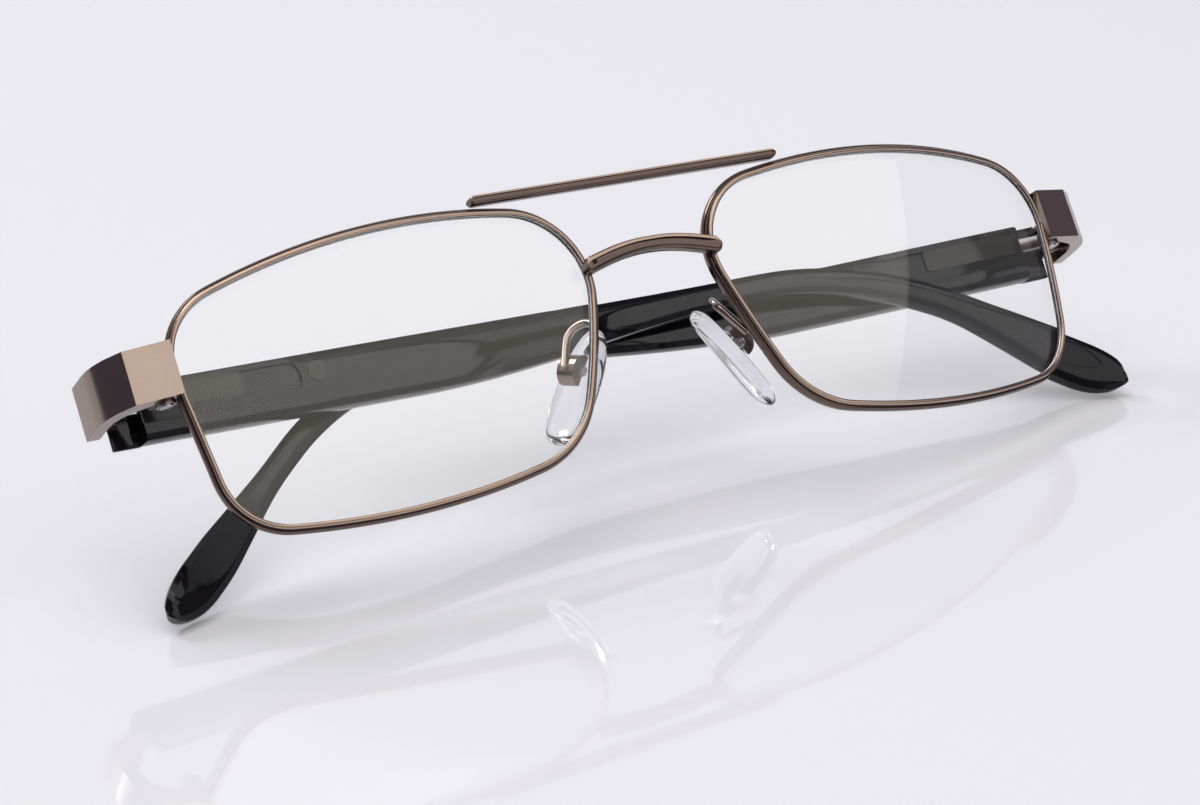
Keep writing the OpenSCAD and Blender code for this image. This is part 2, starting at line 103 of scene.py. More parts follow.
# the pad's middle, the way down its length, the way back and the way into its nose face
PAD_MID = Vector((10.2, 6.8, -3.9))
PAD_DOWN = Vector((7.1, 2.2, -10.4)).normalized()
PAD_BACK = Vector((0.5, 0.866, 0))
PAD_BACK = (PAD_BACK - PAD_DOWN * PAD_BACK.dot(PAD_DOWN)).normalized()
PAD_FACE = PAD_BACK.cross(PAD_DOWN)


def pad_place(side):
    z, y = -PAD_DOWN, PAD_BACK
    x = y.cross(z)
    axes = Matrix((x, y, z)).transposed().to_4x4()
    return STANDING @ mirrored(side) @ Matrix.Translation(PAD_MID) @ axes


# Finishes

# sizes of the surface patterns in millimetres: polishing lines, clouds in the plating,
# dust on the black pieces
LINE_MM, CLOUD_MM, DUST_MM = 0.5, 4.0, 0.6
# noise hardly leaves this span, so it is stretched from there to its full effect
NOISE_LOW, NOISE_HIGH = 0.3, 0.7


def tone(code):
    """A hex colour as seen on screen, turned to linear light."""
    parts = [int(code[i:i + 2], 16) / 255 for i in (1, 3, 5)]
    return [c / 12.92 if c <= 0.04045 else ((c + 0.055) / 1.055) ** 2.4 for c in parts] + [1.0]


def add(tree, kind, settings=None, **inputs):
    """Adds a node. An input is named by its label, or by i and its number; one that is a
    socket is linked, any other is set."""
    made = tree.nodes.new(kind)
    for name, value in (settings or {}).items():
        setattr(made, name, value)
    for name, value in inputs.items():
        numbered = name[0] == "i" and name[1:].isdigit()
        socket = made.inputs[int(name[1:]) if numbered else name.replace("_", " ")]
        if isinstance(value, bpy.types.NodeSocket):
            tree.links.new(value, socket)
        else:
            socket.default_value = value
    return made


def blank_finish(name):
    material = bpy.data.materials.new(name)
    material.use_nodes = True
    material.node_tree.nodes.clear()
    return material, material.node_tree


def grain(tree, size_mm, stretch=(1, 1, 1), detail=2.0):
    """Noise whose lumps have this size in millimetres on the piece, drawn out by stretch."""
    spot = add(tree, "ShaderNodeTexCoord").outputs["Object"]
    spot = add(tree, "ShaderNodeMapping", Vector=spot, Scale=stretch).outputs[0]
    return add(tree, "ShaderNodeTexNoise", Vector=spot, Scale=1 / (size_mm * MM),
               Detail=detail).outputs["Fac"]


def patterned(tree, tint, wear, relief, colours, roughness, lift_mm, lift_share, **settings):
    """A surface whose colour follows one pattern, its roughness another and its relief a
    third; colours and roughness are what the patterns' ends give."""
    colour = add(tree, "ShaderNodeMix", {"data_type": "RGBA"}, Factor=tint,
                 i6=tone(colours[0]), i7=tone(colours[1])).outputs[2]
    rough = add(tree, "ShaderNodeMapRange", Value=wear, From_Min=NOISE_LOW, From_Max=NOISE_HIGH,
                To_Min=roughness[0], To_Max=roughness[1]).outputs["Result"]
    normal = add(tree, "ShaderNodeBump", Height=relief, Distance=lift_mm * MM,
                 Strength=lift_share).outputs["Normal"]
    return add(tree, "ShaderNodeBsdfPrincipled", Base_Color=colour, Roughness=rough,
               Normal=normal, **settings)


def plated_metal(name, dark, light, rough, lines, depth):
    """Metal with clouds of tint and fine polishing lines, drawn out as lines says."""
    material, tree = blank_finish(name)
    fine = grain(tree, LINE_MM, lines)
    cloud = grain(tree, CLOUD_MM)
    shader = patterned(tree, cloud, fine, fine, (dark, light), (rough * 0.85, rough * 1.15),
                       depth, 0.3, Metallic=1.0)
    add(tree, "ShaderNodeOutputMaterial", Surface=shader.outputs[0])
    return material


EVEN, UPRIGHT_LINES = (1, 1, 1), (3, 3, 0.35)
# nickel-silver wire, rolled to a section, polished and bronze ion plated: a dark
# brown mirror with soft lights
rim_bronze = plated_metal("plated_nickel_silver_wire", "#65564f", "#6f5f58", 0.16, EVEN, 0.001)
# the wire's front strip: a grainy warm tan line that is a painted highlight, a lighter copy of
# the plating where the lamps are mirrored
rim_painted_highlight = plated_metal("lapped_front_strip", "#ad9785", "#bda693", 0.22, EVEN, 0.004)
# stamped nickel-silver plate under the same plating: brown with a mauve mirror
plate_bronze = plated_metal("plated_end_plate", "#8f8178", "#9a8c82", 0.18, UPRIGHT_LINES, 0.0006)
# the end plate's flat front: a painted highlight, a lighter copy of its plating where the lamps
# are mirrored
plate_painted_highlight = plated_metal("lapped_end_plate_front", "#b3a192", "#bda999", 0.2, UPRIGHT_LINES,
                           0.0006)
# cast and tumbled nickel silver under the same plating: duller, darker inner fittings
hinge_bronze = plated_metal("tumbled_plated_fittings", "#7d6f69", "#8d7e76", 0.25, EVEN, 0.002)
# bent hard wire, bright dipped: a sharper shine than the rims
arm_wire = plated_metal("bright_dipped_arm_wire", "#94857d", "#a29389", 0.12, EVEN, 0.001)
# pressed gunmetal cup around the pad's screw: a soft grey-brown shine
cup_gunmetal = plated_metal("pressed_gunmetal_cup", "#857771", "#93857d", 0.2, EVEN, 0.001)
# turned stainless screws: bright heads, faintly uneven
turned_steel = plated_metal("turned_stainless_steel", "#b4b0ad", "#c9c6c3", 0.22, EVEN, 0.002)
# hard drawn spring wire: a grey, softer shine
spring_wire = plated_metal("drawn_spring_steel", "#8f8f92", "#a5a5a8", 0.3, EVEN, 0.001)


def black_gloss(name, dark, light, rough, wave_mm):
    """A black gloss whose mirror lights wave softly, with waves of this size."""
    material, tree = blank_finish(name)
    wave = grain(tree, wave_mm, detail=1.0)
    dust = grain(tree, DUST_MM, detail=3.0)
    shader = patterned(tree, dust, dust, wave, (dark, light), (rough * 0.8, rough * 1.3),
                       0.02, 0.25, IOR=1.4)
    add(tree, "ShaderNodeOutputMaterial", Surface=shader.outputs[0])
    return material


# cellulose acetate, tumbled and buffed: near black with a soft waving mirror shine
temple_acetate = black_gloss("buffed_black_acetate", "#09090c", "#100f13", 0.07, 9.0)
# lacquered steel housing, set flush in the acetate: a shade flatter
housing_lacquer = black_gloss("lacquered_hinge_housing", "#0d0d0f", "#161618", 0.17, 5.0)
# the housing's plate and plug: polished lacquer whose base is a shade lighter than the acetate, a
# painted reflection that stands in for the metal plate's stronger mirror
housing_plate_painted_reflection = black_gloss("polished_housing_plate", "#2a2723", "#33302b", 0.12, 5.0)


def clear_plastic(name, body, rough, index, lift, speck_mm, gloss, sheen):
    """Clear plastic that lets light through to what lies behind it and in its shadow.
    Gloss and sheen are the strength and colour of what its surface mirrors."""
    material, tree = blank_finish(name)
    speck = grain(tree, speck_mm)
    shader = patterned(tree, speck, speck, speck, (body, "#ffffff"), (rough, rough * 1.6),
                       lift, 0.1, IOR=index, Transmission_Weight=1.0,
                       Specular_IOR_Level=gloss, Specular_Tint=tone(sheen))
    thin = add(tree, "ShaderNodeBsdfTransparent", Color=tone("#e9ebee"))
    shadow = add(tree, "ShaderNodeLightPath").outputs["Is Shadow Ray"]
    both = add(tree, "ShaderNodeMixShader", i0=shadow, i1=shader.outputs[0], i2=thin.outputs[0])
    add(tree, "ShaderNodeOutputMaterial", Surface=both.outputs[0])
    return material


# cast and polished lens resin under a thin anti-glare coat: weak, warm mirror lights
lens_resin = clear_plastic("polished_lens_resin", "#fafbfa", 0.0, 1.5, 0.0001, 30.0, 0.24,
                           "#c4c1b2")
# moulded soft silicone: clear, with a slight violet-grey cast and a soft surface
pad_silicone = clear_plastic("moulded_clear_silicone", "#f0f0f6", 0.03, 1.41, 0.003, 1.6, 0.5,
                             "#ffffff")
# the lens's ground edge: frosted resin, a pale grey strip beside the rim
ground_edge = clear_plastic("ground_lens_edge", "#e9ebec", 0.45, 1.5, 0.01, 0.5, 0.5, "#ffffff")

SLOTS = {
    "rim_metal": rim_bronze, "hinge_metal": hinge_bronze, "screw_steel": turned_steel,
    "arm_metal": arm_wire, "box_metal": cup_gunmetal, "lens": lens_resin,
    "temple_black": temple_acetate, "housing_black": housing_lacquer, "pad_clear": pad_silicone,
}
FAMILY = {
    "rim": "rim_metal", "lens": "lens", "top_bar": "rim_metal", "bridge": "rim_metal",
    "end_piece": "rim_metal", "front_hinge": "hinge_metal", "lock_upper": "hinge_metal",
    "lock_lower": "hinge_metal", "rim_screw": "screw_steel", "hinge_screw": "screw_steel",
    "spring_slide": "screw_steel", "slide_nut": "screw_steel", "hinge_spring": "screw_steel",
    "spring_housing": "housing_black", "temple": "temple_black", "pad_arm": "arm_metal",
    "pad_box": "box_metal", "pad_screw": "screw_steel", "nose_pad": "pad_clear",
}
# pieces whose finish differs from the one of their slot
OWN_FINISH = {"end_piece": plate_bronze, "hinge_spring": spring_wire}


def family(node):
    return node.replace("_right", "").replace("_left", "")


def finish_for(node):
    return OWN_FINISH.get(family(node), SLOTS[FAMILY[family(node)]])


body_of = {node: body for body, nodes in frame["record"]["behaviour"]["bodies"].items()
           for node in nodes}
for node, piece in frame["nodes"].items():
    piece.data.materials.clear()
    piece.data.materials.append(finish_for(node))


# Making and fitting pieces

def outward_mesh(bm, name):
    """Turns a bmesh into a mesh whose faces point outwards."""
    bmesh.ops.recalc_face_normals(bm, faces=bm.faces)
    mesh = bpy.data.meshes.new(name)
    bm.to_mesh(mesh)
    bm.free()
    return mesh


def in_scene(name, data):
    """An object of the scene that shows this mesh, lamp or camera."""
    made = bpy.data.objects.new(name, data)
    bpy.context.scene.collection.objects.link(made)
    return made


def smooth_piece(bm, name, finishes, sharp):
    """A piece of this bmesh with these finishes, smooth up to the sharp angle."""
    mesh = outward_mesh(bm, name)
    piece = in_scene(name, mesh)
    mesh.shade_smooth()
    mesh.set_sharp_from_angle(angle=math.radians(sharp))
    for finish in finishes:
        mesh.materials.append(finish)
    return piece


def stand_for(piece, node):
    """The piece rides with the node's body and is shown instead of it."""
    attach(piece, body_of[node])
    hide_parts(node)


def fit(bm, node, name, second=None, sharp=35):
    """Turns a bmesh into the piece that stands for a CAD node; second is the finish of the
    faces that are marked with index 1."""
    finishes = [finish_for(node)] + ([second] if second else [])
    stand_for(smooth_piece(bm, name, finishes, sharp), node)


def skin(bm, row, following, index=0):
    """A belt of quads between two closed rows of points."""
    for m in range(len(row)):
        n = (m + 1) % len(row)
        bm.faces.new((row[m], following[m], following[n], row[n])).material_index = index


def fan(bm, row, tip):
    """Closes a row of points with triangles that meet at a tip."""
    for m in range(len(row)):
        bm.faces.new((row[m], row[(m + 1) % len(row)], tip))


def loft(bm, rings, closed, place, marked=()):
    """Joins rings of points with quads; closed joins the last ring to the first one,
    otherwise both ends are capped. The sides of the section that are marked take the
    second finish."""
    made = [[bm.verts.new(place @ Vector(p)) for p in ring] for ring in rings]
    count, size = len(made), len(made[0])
    for i in range(count if closed else count - 1):
        a, b = made[i], made[(i + 1) % count]
        for k in range(size):
            m = (k + 1) % size
            bm.faces.new((a[k], a[m], b[m], b[k])).material_index = int(k in marked)
    if not closed:
        for ring in (made[0], made[-1]):
            bm.faces.new(ring)


def chamfer(bm, width_mm, angle=30, segments=2):
    """Rounds every edge where the surface turns by more than the angle."""
    edges = [e for e in bm.edges if len(e.link_faces) == 2
             and e.calc_face_angle(0) > math.radians(angle)]
    bmesh.ops.bevel(bm, geom=edges, offset=width_mm * MM, offset_type="OFFSET",
                    segments=segments, profile=0.5, affect="EDGES", clamp_overlap=True)


# corners closer than this are one, and faces that meet at less than this angle are flat
MERGED_MM, FLAT_ANGLE = 0.002, 1.5


def dress(node, width_mm):
    """A CAD node's own shape with merged corners and softened edges."""
    bm = bmesh.new()
    bm.from_mesh(frame["nodes"][node].data)
    bmesh.ops.remove_doubles(bm, verts=bm.verts, dist=MERGED_MM * MM)
    bmesh.ops.dissolve_limit(bm, angle_limit=math.radians(FLAT_ANGLE), verts=bm.verts,
                             edges=bm.edges)
    chamfer(bm, width_mm)
    bmesh.ops.triangulate(bm, faces=[f for f in bm.faces if len(f.verts) > 4])
    fit(bm, node, node + "_finished")


# Rims and lenses

# the longest steps round a corner, in millimetres and degrees, and along a side
CORNER_STEP, CORNER_TURN, SIDE_STEP = 1.2, 4, 1.5


def outline_run():
    """The rim's middle line all the way round: points and outward directions."""
    pts = [Vector(c[:2]) for c in CORNERS]
    count = len(pts)
    heads = [math.atan2(*reversed(pts[(i + 1) % count] - pts[i])) for i in range(count)]
    run = []
    for i in range(count):
        c, r = pts[i], CORNERS[i][2]
        a, b = (pts[i - 1] - c).normalized(), (pts[(i + 1) % count] - c).normalized()
        mid = c + (a + b).normalized() * r / math.sin(a.angle(b) / 2)
        turn = (heads[i] - heads[i - 1]) % (2 * math.pi)
        steps = max(6, int(turn * r / CORNER_STEP), int(turn / math.radians(CORNER_TURN)))
        for k in range(steps + 1):
            t = heads[i - 1] - math.pi / 2 + turn * k / steps
            way = Vector((math.cos(t), math.sin(t)))
            run.append((mid + (r - RIM_OUT) * way, way))
    full = []
    for i, (p, n) in enumerate(run):
        q, m = run[(i + 1) % len(run)]
        parts = max(1, int((q - p).length / SIDE_STEP))
        full += [(p.lerp(q, k / parts), n.lerp(m, k / parts).normalized()) for k in range(parts)]
    return full


OUTLINE = outline_run()


def on_front(p, depth, lean=0.75):
    """A point of the lens shape on the front curve, sunk by depth along a line that leans
    towards the curve's middle."""
    u, v = p
    y = FRONT_R - math.sqrt(FRONT_R ** 2 - u * u - (v - RISE) ** 2)
    inward = Vector((-u, FRONT_R - y, RISE - v)).normalized().lerp(Vector((0, 1, 0)), 1 - lean)
    return Vector((u, y, v)) + inward * depth


# the rim's split: its lower and upper end, on the outer side of this x
SPLIT_LOW, SPLIT_HIGH, SPLIT_SIDE = 4.3, 4.5, 22


def rim_run():
    """The outline opened at the split, from its upper end round to its lower end."""
    outer = [i for i, (p, n) in enumerate(OUTLINE) if p.x > SPLIT_SIDE]

    def height_of(i):
        return OUTLINE[i][0].y

    below = max((i for i in outer if height_of(i) < SPLIT_LOW), key=height_of)
    above = min((i for i in outer if height_of(i) > SPLIT_HIGH), key=height_of)

    def at(height):
        (p, n), (q, m) = OUTLINE[below], OUTLINE[above]
        t = (height - p.y) / (q.y - p.y)
        return p.lerp(q, t), n.lerp(m, t).normalized()

    ring, i = [at(SPLIT_HIGH)], above
    while i != below:
        ring.append(OUTLINE[i])
        i = (i + 1) % len(OUTLINE)
    return ring + [OUTLINE[below], at(SPLIT_LOW)]


def arc(cx, cy, r, start, end, count):
    """Points on an arc in a flat section; angles in degrees."""
    turns = [math.radians(start + (end - start) * k / (count - 1)) for k in range(count)]
    return [(cx + r * math.cos(t), cy - r * math.sin(t)) for t in turns]


# the rim's rolled section, outwards and depth: a crowned front bead, a fine groove, a
# sloping band that turns into the outer wall, the back, and the groove for the lens
RIM_SECTION = (
    [(-0.35, 0.30)] + arc(-0.07, 0.30, 0.32, 155, 20, 9) + [(0.25, 0.34), (0.27, 0.58)]
    + [(0.40, 0.60), (0.43, 0.44), (0.48, 0.42), (0.62, 0.56), (0.72, 0.74), (0.75, 0.90),
       (0.75, 1.20)]
    + [(0.72, 1.45), (0.62, 1.68), (0.46, 1.79), (0.20, 1.80), (-0.20, 1.80), (-0.31, 1.76),
       (-0.35, 1.66), (-0.35, 1.27), (0.03, 1.25), (0.03, 0.65), (-0.35, 0.63)])
# the section's sides on the crown of the bead, which take the painted highlight
RIM_HIGHLIGHT_SIDES = range(1, 8)


def build_rim(side):
    """A rim of rolled wire, open at its split."""
    node = "rim_" + SIDES[side]
    bm = bmesh.new()
    rings = [[on_front(p + n * d, k) for d, k in RIM_SECTION] for p, n in rim_run()]
    loft(bm, rings, False, lens_place(side), RIM_HIGHLIGHT_SIDES)
    # the crown of the bead takes the painted highlight
    fit(bm, node, node + "_rolled", rim_painted_highlight, sharp=32)


# the lens: how far its faces end from the rim's middle line, how deep its front lies
# behind the front curve, and the rings that each of its faces is made of
LENS_EDGE, LENS_SUNK, LENS_RINGS = -RIM_IN - 0.06, 0.35, 14
# the lens's bevel: depth and how far it stands out, and how its lines lean
BEVEL, BEVEL_LEAN = ((0.72, 0.0), (0.74, RIM_IN), (1.16, RIM_IN), (1.2, 0.0)), 0.5


def build_lens(side):
    """A weak plus meniscus with a bevel round its edge that sits in the rim's groove."""
    node = "lens_" + SIDES[side]
    place = lens_place(side)
    bm = bmesh.new()
    edge = [p + n * LENS_EDGE for p, n in OUTLINE]

    def back(p):
        u, v = p
        flat = LENS_BACK_R - math.sqrt(LENS_BACK_R ** 2 - u * u - (v - RISE) ** 2)
        return Vector((u, LENS_SUNK + LENS_THICK + flat, v))

    def front(p):
        return on_front(p, LENS_SUNK, 0)

    borders = []
    for surface in (front, back):
        rows = [[bm.verts.new(place @ surface(p * (k / LENS_RINGS))) for p in edge]
                for k in range(1, LENS_RINGS + 1)]
        fan(bm, rows[0], bm.verts.new(place @ surface(Vector((0, 0)))))
        for row, following in zip(rows, rows[1:]):
            skin(bm, row, following)
        borders.append(rows[-1])
    ridge = [[bm.verts.new(place @ on_front(p + n * (LENS_EDGE + out), depth, BEVEL_LEAN))
              for p, n in OUTLINE] for depth, out in BEVEL]
    rows = [borders[0]] + ridge + [borders[1]]
    for row, following in zip(rows, rows[1:]):
        skin(bm, row, following, 1)
    fit(bm, node, node + "_polished", ground_edge, sharp=25)


# Bars over the nose

# the bars' front, from the top edge down: share of the half height, and depth behind the
# foremost line; band puts the groove in place of the two middle points
BAR_FRONT = [(1.0, 0.45), (0.95, 0.24), (0.86, 0.09), (0.74, 0.01), (0.62, 0.0),
             (0.02, 0.0), (-0.5, 0.04), (-0.78, 0.13), (-0.94, 0.28), (-1.0, 0.48)]
# the groove's four lines, from its top, in shares of the half height
GROOVE_LINES = (0.1, 0.0, -0.36, -0.46)
# the section's sides above the groove, which take the painted highlight
BAR_HIGHLIGHT_SIDES = range(1, 4)
# the radius of the back's edges, and the smallest share of its height that a bar keeps at
# its ends
BACK_ROUND, END_SHARE = 0.3, 0.08


def band(node, stations, depths, groove, top):
    """A bar that runs sideways, with its front and back at these depths. Each station is
    (x, low, high). The crowned front carries a groove of depth groove(x), whose upper edge
    lies at top, a share of the half height. The back has rounded edges."""
    depth_front, depth_back = depths
    bm = bmesh.new()
    rings = []
    for x, low, high in stations:
        mid, half = (low + high) / 2, (high - low) / 2
        r, crown = min(BACK_ROUND, half * 0.6), min(1, half * 1.4)
        front = [(depth_front + crown * d, half * z) for z, d in BAR_FRONT]
        bed = depth_front + groove(x)
        across = (front[4][0], bed, bed, front[5][0])
        front[4:6] = [(y, half * (top + line)) for y, line in zip(across, GROOVE_LINES)]
        back = [(depth_back - r + r * math.cos(t), half - r + r * math.sin(t))
                for t in (math.radians(a) for a in (0, 22, 45, 67, 88))]
        ring = front + [(y, -z) for y, z in back[::-1]] + back
        rings.append([(x, y, mid + z) for y, z in ring])
    loft(bm, rings, False, STANDING, BAR_HIGHLIGHT_SIDES)
    # the faces above the groove take the painted highlight
    fit(bm, node, node + "_drawn", rim_painted_highlight, sharp=32)


def round_ends(half, end, parts):
    """Places along a bar with rounded ends: (x, share of the full height)."""
    inner = half - end
    mids = [(-inner + 2 * inner * k / parts, 1.0) for k in range(parts + 1)]
    tips = [(inner + end * math.sin(math.radians(a)), max(END_SHARE, math.cos(math.radians(a))))
            for a in (20, 40, 55, 70, 80, 87)]
    return [(-x, s) for x, s in reversed(tips)] + mids + tips


# the top bar: half its length, its round ends, its middle's height and half its own
# height; then the depths of its faces, and its groove's depth and top
BAR_HALF, BAR_END, BAR_Z, BAR_TALL = 20.9, 0.57, 17.325, 0.575
BAR_DEPTHS, BAR_GROOVE, BAR_TOP = (-0.5, 1.1), 0.22, 0.4


def build_top_bar():
    """The straight bar over the nose."""
    stations = []
    for x, share in round_ends(BAR_HALF, BAR_END, 12):
        half = BAR_TALL * share
        stations.append((x, BAR_Z - half, BAR_Z + half))
    band("top_bar", stations, BAR_DEPTHS, lambda x: BAR_GROOVE, BAR_TOP)


# the bridge: half its length and its round ends; the depths of its faces, and its groove's
# depth and top
BRIDGE_HALF, BRIDGE_END = 9.2, 0.7
BRIDGE_DEPTHS, BRIDGE_GROOVE, BRIDGE_TOP = (-1.3, 0.55), 0.4, 0.3
# its lower edge: height at the ends, rise to the middle and half the arch's span
ARCH_FOOT, ARCH_RISE, ARCH_HALF = 5.9, 1.9, 9.6
# its own height in the middle, how much it gains, and where it stops to change
BRIDGE_TALL, BRIDGE_GAIN, BRIDGE_STEADY = 1.7, 0.35, 9.0
# where its groove ends, and the length over which it runs out
GROOVE_REACH, GROOVE_RUN = 8.4, 0.5


def build_bridge():
    """The arched bridge below the bar."""
    def arch(x):
        return ARCH_FOOT + ARCH_RISE * math.cos(math.radians(90 * x / ARCH_HALF))

    def cut(x):
        return BRIDGE_GROOVE * min(1.0, max(0.0, (GROOVE_REACH - abs(x)) / GROOVE_RUN))

    stations = []
    for x, share in round_ends(BRIDGE_HALF, BRIDGE_END, 38):
        out = min(abs(x), BRIDGE_STEADY)
        tall = BRIDGE_TALL + BRIDGE_GAIN * out / BRIDGE_STEADY
        mid = arch(out) + tall / 2
        stations.append((x, mid - tall / 2 * share, mid + tall / 2 * share))
    band("bridge", stations, BRIDGE_DEPTHS, cut, BRIDGE_TOP)


# End pieces

# the end piece seen from above, outwards and back: outer face, then inner face
PLATE_OUTER = [(59.6, 4.5), (64.9, 6.15), (66.55, 7.75), (67.3, 8.95), (67.75, 10.2),
               (67.93, 11.7), (67.93, 15.2)]
PLATE_INNER = [(66.35, 15.2), (66.35, 11.9), (66.15, 10.6), (65.6, 9.5), (64.8, 8.5),
               (62.2, 7.0), (59.45, 6.0)]
# its lower and upper edge, and how much both fall per millimetre behind this depth
PLATE_EDGES, PLATE_FALL, FALL_FROM = (2.2, 8.5), 0.085, 5.8


def build_end_piece(side):
    """A stamped plate bent round the corner: flat front, sharp crease, narrow facet and side
    wall, which falls a little towards the hinge."""
    node = "end_piece_" + SIDES[side]
    bm = bmesh.new()
    plan = PLATE_OUTER + PLATE_INNER
    rings = [[(x, y, height - PLATE_FALL * max(y - FALL_FROM, 0)) for x, y in plan]
             for height in PLATE_EDGES]
    loft(bm, rings, False, STANDING @ mirrored(side), (0,))
    chamfer(bm, 0.13, 20, 3)
    # the flat front face takes the painted highlight
    fit(bm, node, node + "_pressed", plate_painted_highlight, sharp=24)


# Temples

# how high the temple stands above its line; the length where its hinge end starts to slim
# and how long that takes; where its tip starts to widen, and the share and the length
# of that above and below the line
ABOVE_LINE, SLIM_FROM, SLIM_RUN, WIDE_FROM = 1.5, 40, 48, 112
UPPER_SHARE, UPPER_RUN, LOWER_SHARE, LOWER_RUN = 0.3, 16, 0.7, 18
# how long the rounding of its tip is, above and below the line, and across
TIP_ABOVE, TIP_BELOW, TIP_EDGE = 6.5, 6, 1.3
# its sideways bow: where it starts, and the length on which it reaches its size
BOW_FROM, BOW_RUN = 60, 74
# where it starts to get thinner and how long that takes
THIN_FROM, THIN_RUN = 30, 35
# its end at the hinge: length of the thin stretch, start and radius of the round edge
BUTT_THIN, BUTT_EDGE, BUTT_ROUND = 4, 1.3, 0.8
# the pocket of the hinge housing: its start, where its round end begins and stops, the
# height of its middle, half its height and its depth
POCKET_FROM, POCKET_ROUND, POCKET_TO = 4.0, 22.3, 24.6
POCKET_Z, POCKET_HALF, POCKET_DEPTH = 4.2, 2.25, 0.24
# the sunk field on the tip: its start, how long it takes to open, its distances from the
# temple's end, its border, its depth and the slope of its edges
FIELD_FROM, FIELD_RUN, FIELD_ROUND, FIELD_STOP = 96, 10, 12, 4
FIELD_BORDER, FIELD_DEPTH, FIELD_SLOPE = 0.95, 0.2, 0.14
# the inner face's edges, inwards and up, and the radius of the outer face's edges; both
# shrink where the temple is lower or thinner than this
EDGE_PROFILE = [(0.46, 0.0), (0.38, 0.03), (0.04, 0.72), (0.0, 0.80)]
OUTER_ROUND, FULL_TALL, FULL_WIDE = 0.8, 3.4, 2.0


def ease(t):
    return 0.5 - 0.5 * math.cos(math.pi * min(max(t, 0), 1))


def round_end(t):
    return math.sqrt(max(1 - t * t, 0))


def guide(shape, a):
    """Side view of the temple's line at length a: along, up and its downward turn."""
    start, bend = shape["start"], EAR_R * EAR_ANGLE
    t = min(max(a - start, 0), bend) / EAR_R
    rest = max(a - start - bend, 0)
    return (min(a, start) + EAR_R * math.sin(t) + rest * math.cos(EAR_ANGLE),
            GUIDE_Z - EAR_R * (1 - math.cos(t)) - rest * math.sin(EAR_ANGLE), t)


def reach(shape, a):
    """How far the temple stands above and below its line at length a."""
    length = shape["length"]
    up = ABOVE_LINE + UPPER_SHARE * TIP_WIDER * ease((a - WIDE_FROM) / UPPER_RUN)
    down = (SLIM - ABOVE_LINE + (TEMPLE_H - SLIM) * (1 - ease((a - SLIM_FROM) / SLIM_RUN))
            + LOWER_SHARE * TIP_WIDER * ease((a - WIDE_FROM) / LOWER_RUN))
    return (up * round_end(max(a - length + TIP_ABOVE, 0) / TIP_ABOVE),
            down * round_end(max(a - length + TIP_BELOW, 0) / TIP_BELOW))


def faces_at(shape, along):
    """Inner and outer face of the temple, seen from above."""
    bow = shape["bow"] * (max(along - BOW_FROM, 0) / BOW_RUN) ** shape["power"]
    thin = SLAB_THIN / 2 * ease((along - THIN_FROM) / THIN_RUN)
    inner, outer = SLAB_IN + thin - bow, SLAB_OUT - thin - bow
    if along < BUTT_THIN:
        inner = THIN_O
    if along < BUTT_EDGE:
        outer -= BUTT_ROUND - math.sqrt(max(BUTT_ROUND ** 2 - (BUTT_EDGE - along) ** 2, 0.0))
    return inner, outer


def sunk_field(shape, a, tall, down):
    """Lower edge, upper edge and depth of what is sunk in the temple's inner face."""
    length = shape["length"]
    if POCKET_FROM <= a <= POCKET_TO:
        share = round_end(max(a - POCKET_ROUND, 0) / POCKET_HALF)
        low, high = POCKET_Z - POCKET_HALF * share, POCKET_Z + POCKET_HALF * share
        return (low + (tall - TEMPLE_H), high + (tall - TEMPLE_H),
                POCKET_DEPTH * min(1, share * 4))
    if a > FIELD_FROM:
        share = 0.0
        if a < length - FIELD_STOP:
            share = round_end(max(a - (length - FIELD_ROUND), 0) / (FIELD_ROUND - FIELD_STOP))
        share *= ease((a - FIELD_FROM) / FIELD_RUN)
        mid = down + 0.05
        half = (tall / 2 - FIELD_BORDER) * share
        return mid - half, mid + half, FIELD_DEPTH * min(1, share * 3)
    return tall * 0.42, tall * 0.58, 0.0


def temple_section(shape, a):
    """One section of the temple as points (along, outwards, up)."""
    s, z, tilt = guide(shape, a)
    up, down = reach(shape, a)
    tall = max(up + down, 0.05)
    inner, outer = faces_at(shape, s)
    wide = outer - inner
    k = min(1.0, tall / FULL_TALL, wide / FULL_WIDE)
    low, high, sunk = sunk_field(shape, a, tall, down)
    slope = (high - low) / 8 if (high - low) < 0.6 else FIELD_SLOPE
    r = OUTER_ROUND * k
    ring = [(w * k, h * k) for w, h in EDGE_PROFILE]
    ring += [(0.0, low), (sunk, low + slope), (sunk, high - slope), (0.0, high)]
    ring += [(w * k, tall - h * k) for w, h in reversed(EDGE_PROFILE)]
    for cx, cz, start in ((wide - r, tall - r, 90), (wide - r, r, 0)):
        for n in range(5):
            t = math.radians(start - 22.5 * n)
            ring.append((cx + r * math.cos(t), cz + r * math.sin(t)))
    end = guide(shape, shape["length"])[0] + 0.1
    points = []
    for w, h in ring:
        along = s + (h - down) * math.sin(tilt)
        height = z + (h - down) * math.cos(tilt)
        inner, outer = faces_at(shape, along)
        o = inner + w * (outer - inner) / wide
        past = along - (end - TIP_EDGE)
        if past > 0:
            mid = (inner + outer) / 2
            o = mid + (o - mid) * round_end(min(past / TIP_EDGE, 0.995))
        points.append(Vector((min(along, end), o, height)))
    return points


